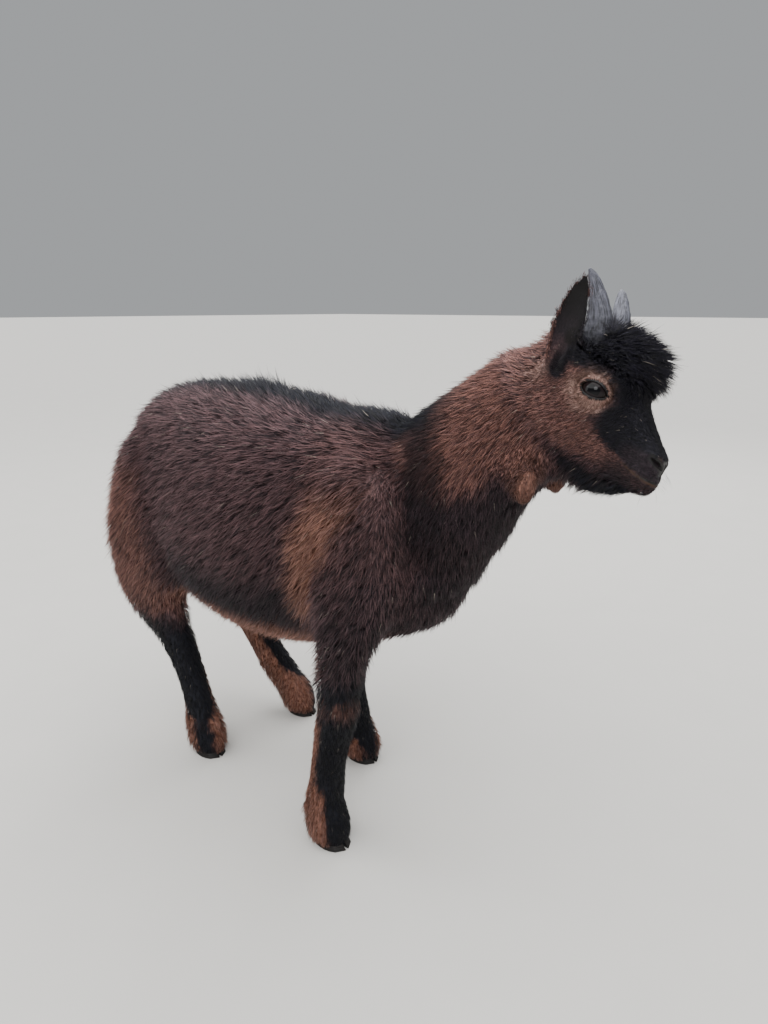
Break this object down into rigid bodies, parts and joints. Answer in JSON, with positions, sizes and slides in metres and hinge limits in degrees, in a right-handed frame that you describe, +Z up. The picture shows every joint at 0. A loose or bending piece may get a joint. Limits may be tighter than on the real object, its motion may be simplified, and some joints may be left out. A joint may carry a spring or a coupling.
{
  "type": "young dwarf goat model",
  "caption": "Life-size standing young dwarf goat, with short horns, upright ears, throat wattles, a deep woolly body and cloven hooves.",
  "frame": {"origin": "on the floor, under the middle of the goat's length and width", "axes": "+X from tail to nose, +Y to the goat's left, +Z up"},
  "size_m": [0.5432, 0.1842, 0.4492],
  "materials": {
    "brown_coat": "matt fur",
    "dark_coat": "matt fur",
    "tan_coat": "matt fur",
    "horn": "rough grey horn",
    "hoof": "dark hoof horn",
    "eye": "wet gloss"
  },
  "bodies": {
    "root": {"ear_left": "brown_coat", "ear_right": "brown_coat", "eye_left": "eye", "eye_right": "eye", "fore_left_cannon": "dark_coat", "fore_left_claw_inner": "hoof", "fore_left_claw_outer": "hoof", "fore_left_dewclaw_inner": "hoof", "fore_left_dewclaw_outer": "hoof", "fore_left_foot": "dark_coat", "fore_left_forearm": "brown_coat", "fore_left_shoulder": "brown_coat", "fore_right_cannon": "dark_coat", "fore_right_claw_inner": "hoof", "fore_right_claw_outer": "hoof", "fore_right_dewclaw_inner": "hoof", "fore_right_dewclaw_outer": "hoof", "fore_right_foot": "dark_coat", "fore_right_forearm": "brown_coat", "fore_right_shoulder": "brown_coat", "head": "brown_coat", "hind_left_cannon": "dark_coat", "hind_left_claw_inner": "hoof", "hind_left_claw_outer": "hoof", "hind_left_dewclaw_inner": "hoof", "hind_left_dewclaw_outer": "hoof", "hind_left_foot": "dark_coat", "hind_left_gaskin": "brown_coat", "hind_left_thigh": "brown_coat", "hind_right_cannon": "dark_coat", "hind_right_claw_inner": "hoof", "hind_right_claw_outer": "hoof", "hind_right_dewclaw_inner": "hoof", "hind_right_dewclaw_outer": "hoof", "hind_right_foot": "dark_coat", "hind_right_gaskin": "brown_coat", "hind_right_thigh": "brown_coat", "horn_left": "horn", "horn_right": "horn", "neck": "brown_coat", "tail": "brown_coat", "trunk": "brown_coat", "wattle_left": "tan_coat", "wattle_right": "tan_coat"}
  },
  "joints": []
}
